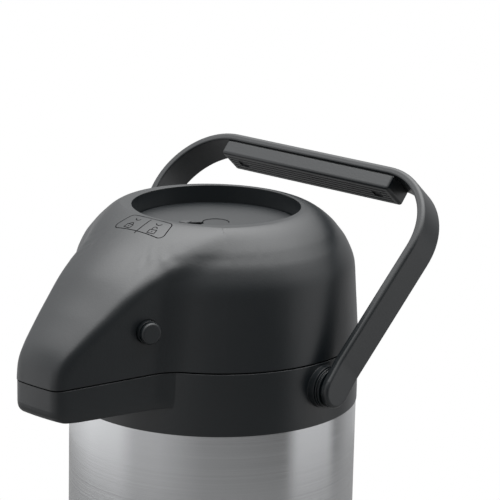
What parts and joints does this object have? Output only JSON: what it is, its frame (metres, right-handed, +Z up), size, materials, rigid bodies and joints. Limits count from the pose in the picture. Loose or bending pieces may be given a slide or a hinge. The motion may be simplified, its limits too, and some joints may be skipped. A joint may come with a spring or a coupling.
{
  "type": "airpot",
  "caption": "Insulated steel airpot with a domed hinged lid, a pump pad with a lock lever, a forward spout and a swinging carrying handle.",
  "frame": {"origin": "on the body's axis, at the plane that it stands on", "axes": "+Z up along the body, the spout points to -Y, the lid hinge is at +Y, and the handle pivots about X"},
  "size_m": [0.1964, 0.2293, 0.3471],
  "materials": {
    "body_steel": "satin brushed around the body",
    "inner_steel": "plain drawn steel",
    "screw_steel": "plain zinc plated steel",
    "black_screw": "black oxide steel",
    "black_plastic": "fine satin grain",
    "handle_plastic": "fine satin grain",
    "pad_plastic": "fine satin grain",
    "lever_plastic": "smooth satin",
    "button_plastic": "smooth satin",
    "inner_plastic": "plain moulded",
    "silicone": "milky silicone",
    "bellows_rubber": "soft black rubber",
    "foot_rubber": "matt non-slip rubber"
  },
  "bodies": {
    "root": {"foot_pad": "foot_rubber", "base_cap": "black_plastic", "base_screws": "screw_steel", "shell_bottom": "inner_steel", "outer_shell": "body_steel", "liner_wall": "inner_steel", "liner_base": "inner_steel", "liner_shoulder": "inner_steel", "collar": "black_plastic", "hinge_pin": "screw_steel", "neck_ring": "inner_plastic", "neck_gasket": "silicone", "pour_head": "inner_plastic", "tube_gland": "silicone", "dip_tube": "inner_steel", "outlet_pipe": "silicone", "outlet_nozzle": "inner_plastic"},
    "lid": {"lid_shell": "black_plastic", "lid_plate": "inner_plastic", "lid_screws": "screw_steel", "lid_seal": "silicone", "air_valve": "silicone", "pump_bellows": "bellows_rubber", "bellows_clamp": "inner_plastic", "pump_spring": "screw_steel", "release_spring_right": "screw_steel", "release_spring_left": "screw_steel", "release_carrier": "inner_plastic"},
    "pad": {"push_button": "pad_plastic", "intake_valve": "bellows_rubber"},
    "lever": {"lock_lever": "lever_plastic"},
    "button_right": {"release_button_right": "button_plastic"},
    "button_left": {"release_button_left": "button_plastic"},
    "pivots": {"pivot_disc_right": "button_plastic", "pivot_disc_left": "button_plastic", "handle_pin_right": "screw_steel", "handle_pin_left": "screw_steel", "pin_clip_right": "screw_steel", "pin_clip_left": "screw_steel"},
    "handle": {"handle_bail": "handle_plastic", "handle_grip": "handle_plastic", "grip_screws": "black_screw"}
  },
  "joints": [
    {"name": "lid_open", "type": "hinge", "parent": "root", "child": "lid", "pos_m": [0, 0.0845, 0.2567], "axis": [-1, 0, 0], "range_deg": [0, 85]},
    {"name": "pad_press", "type": "slide", "parent": "lid", "child": "pad", "axis": [0, 0, -1], "range_m": [0, 0.022], "stiffness_N_per_m": 300, "springref_m": -0.02, "deforming": ["pump_bellows", "pump_spring"]},
    {"name": "lever_turn", "type": "hinge", "parent": "pad", "child": "lever", "pos_m": [0, 0, 0.3166], "axis": [0, 0, -1], "range_deg": [0, 14.4]},
    {"name": "release_right_press", "type": "slide", "parent": "lid", "child": "button_right", "axis": [-0.9565, 0.2917, 0], "range_m": [0, 0.003], "stiffness_N_per_m": 800, "springref_m": -0.003, "deforming": ["release_spring_right"]},
    {"name": "release_left_press", "type": "slide", "parent": "lid", "child": "button_left", "axis": [0.9565, 0.2917, 0], "range_m": [0, 0.003], "stiffness_N_per_m": 800, "springref_m": -0.003, "deforming": ["release_spring_left"]},
    {"name": "handle_pushback", "type": "hinge", "parent": "root", "child": "pivots", "pos_m": [0, 0, 0.2432], "axis": [-1, 0, 0], "range_deg": [0, 76.5]},
    {"name": "handle_swing", "type": "hinge", "parent": "pivots", "child": "handle", "pos_m": [0, 0, 0.2432], "axis": [-1, 0, 0], "range_deg": [-100, 0]}
  ],
  "couplings": [
    {"joint": "handle_pushback", "follows": "lid_open", "ratio": 0.9}
  ]
}
